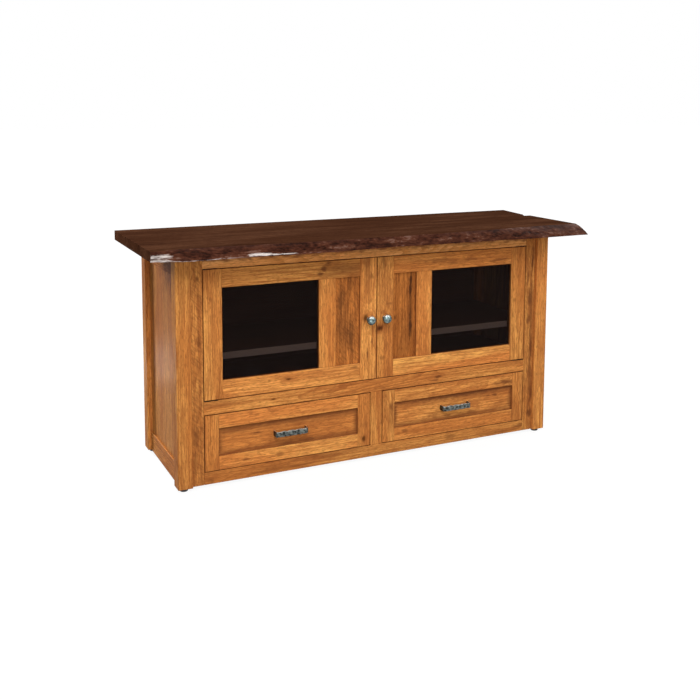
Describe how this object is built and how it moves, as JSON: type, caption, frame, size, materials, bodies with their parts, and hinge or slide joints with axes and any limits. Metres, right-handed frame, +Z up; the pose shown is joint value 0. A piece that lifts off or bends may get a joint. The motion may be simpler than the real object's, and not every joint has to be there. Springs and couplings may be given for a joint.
{
  "type": "tv cabinet",
  "caption": "Live-edge wooden television cabinet with smoked-glass pivot doors over framed drawers on slides, and levelling feet.",
  "frame": {"origin": "on the floor under the middle of the whole cabinet's plan", "axes": "+X to the right seen from the front, along the length; +Y to the back; +Z up"},
  "size_m": [1.6076, 0.5664, 0.783],
  "materials": {
    "slab": "satin lacquered dark walnut, natural live front edge",
    "case_wood": "satin lacquered honey-brown rustic hardwood",
    "panel_wood": "satin lacquered honey-brown rustic hardwood",
    "inner_wood": "dark stained veneered board",
    "drawer_wood": "clear lacquered pale hardwood",
    "smoked_glass": "smoked near-black glass",
    "pewter": "hammered pewter",
    "dark_iron": "hammered dark iron",
    "zinc": "zinc plated",
    "dark_steel": "browned",
    "black": "matte black"
  },
  "bodies": {
    "cabinet": {"live_edge_top": "slab", "face_rail_bottom": "case_wood", "face_rail_middle": "case_wood", "face_rail_top": "case_wood", "drawer_mullion": "case_wood", "bottom_board": "inner_wood", "deck_board": "inner_wood", "centre_partition": "inner_wood", "back_panel": "inner_wood", "door_catch": "black", "post_front_left": "case_wood", "post_rear_left": "case_wood", "side_rail_low_left": "case_wood", "side_rail_top_left": "case_wood", "side_panel_left": "panel_wood", "face_stile_left": "case_wood", "shelf_left": "inner_wood", "hinge_lower_left": "dark_steel", "hinge_upper_left": "dark_steel", "drawer_left_case_slide": "zinc", "post_front_right": "case_wood", "post_rear_right": "case_wood", "side_rail_low_right": "case_wood", "side_rail_top_right": "case_wood", "side_panel_right": "panel_wood", "face_stile_right": "case_wood", "shelf_right": "inner_wood", "hinge_lower_right": "dark_steel", "hinge_upper_right": "dark_steel", "drawer_right_case_slide": "zinc"},
    "door_left": {"door_left_outer_stile": "case_wood", "door_left_mid_stile": "case_wood", "door_left_meeting_stile": "case_wood", "door_left_top_rail": "case_wood", "door_left_bottom_rail": "case_wood", "door_left_panel": "panel_wood", "door_left_glass": "smoked_glass", "door_left_knob": "pewter"},
    "drawer_left": {"drawer_left_front": "case_wood", "drawer_left_box": "drawer_wood", "drawer_left_pull": "dark_iron", "drawer_left_slide": "zinc"},
    "drawer_left_middle": {"drawer_left_middle_slide": "zinc"},
    "foot_front_left": {"foot_front_left": "black"},
    "foot_rear_left": {"foot_rear_left": "black"},
    "door_right": {"door_right_outer_stile": "case_wood", "door_right_mid_stile": "case_wood", "door_right_meeting_stile": "case_wood", "door_right_top_rail": "case_wood", "door_right_bottom_rail": "case_wood", "door_right_panel": "panel_wood", "door_right_glass": "smoked_glass", "door_right_knob": "pewter"},
    "drawer_right": {"drawer_right_front": "case_wood", "drawer_right_box": "drawer_wood", "drawer_right_pull": "dark_iron", "drawer_right_slide": "zinc"},
    "drawer_right_middle": {"drawer_right_middle_slide": "zinc"},
    "foot_front_right": {"foot_front_right": "black"},
    "foot_rear_right": {"foot_rear_right": "black"}
  },
  "joints": [
    {"name": "door_left_pivot", "type": "hinge", "parent": "cabinet", "child": "door_left", "pos_m": [-0.61869, -0.16485, 0.283], "axis": [0, 0, -1], "range_deg": [0, 105]},
    {"name": "drawer_left_travel", "type": "slide", "parent": "cabinet", "child": "drawer_left", "axis": [0, -1, 0], "range_m": [0, 0.33]},
    {"name": "drawer_left_middle_travel", "type": "slide", "parent": "cabinet", "child": "drawer_left_middle", "axis": [0, -1, 0], "range_m": [0, 0.165]},
    {"name": "foot_front_left_turn", "type": "hinge", "parent": "cabinet", "child": "foot_front_left", "pos_m": [-0.69119, -0.15685, 0.011], "axis": [0, 0, 1], "continuous": true},
    {"name": "foot_rear_left_turn", "type": "hinge", "parent": "cabinet", "child": "foot_rear_left", "pos_m": [-0.69119, 0.23515, 0.011], "axis": [0, 0, 1], "continuous": true},
    {"name": "door_right_pivot", "type": "hinge", "parent": "cabinet", "child": "door_right", "pos_m": [0.58831, -0.16485, 0.283], "axis": [0, 0, 1], "range_deg": [0, 105]},
    {"name": "drawer_right_travel", "type": "slide", "parent": "cabinet", "child": "drawer_right", "axis": [0, -1, 0], "range_m": [0, 0.33]},
    {"name": "drawer_right_middle_travel", "type": "slide", "parent": "cabinet", "child": "drawer_right_middle", "axis": [0, -1, 0], "range_m": [0, 0.165]},
    {"name": "foot_front_right_turn", "type": "hinge", "parent": "cabinet", "child": "foot_front_right", "pos_m": [0.66081, -0.15685, 0.011], "axis": [0, 0, 1], "continuous": true},
    {"name": "foot_rear_right_turn", "type": "hinge", "parent": "cabinet", "child": "foot_rear_right", "pos_m": [0.66081, 0.23515, 0.011], "axis": [0, 0, 1], "continuous": true}
  ],
  "couplings": [
    {"joint": "drawer_left_middle_travel", "follows": "drawer_left_travel", "ratio": 0.5},
    {"joint": "drawer_right_middle_travel", "follows": "drawer_right_travel", "ratio": 0.5}
  ]
}
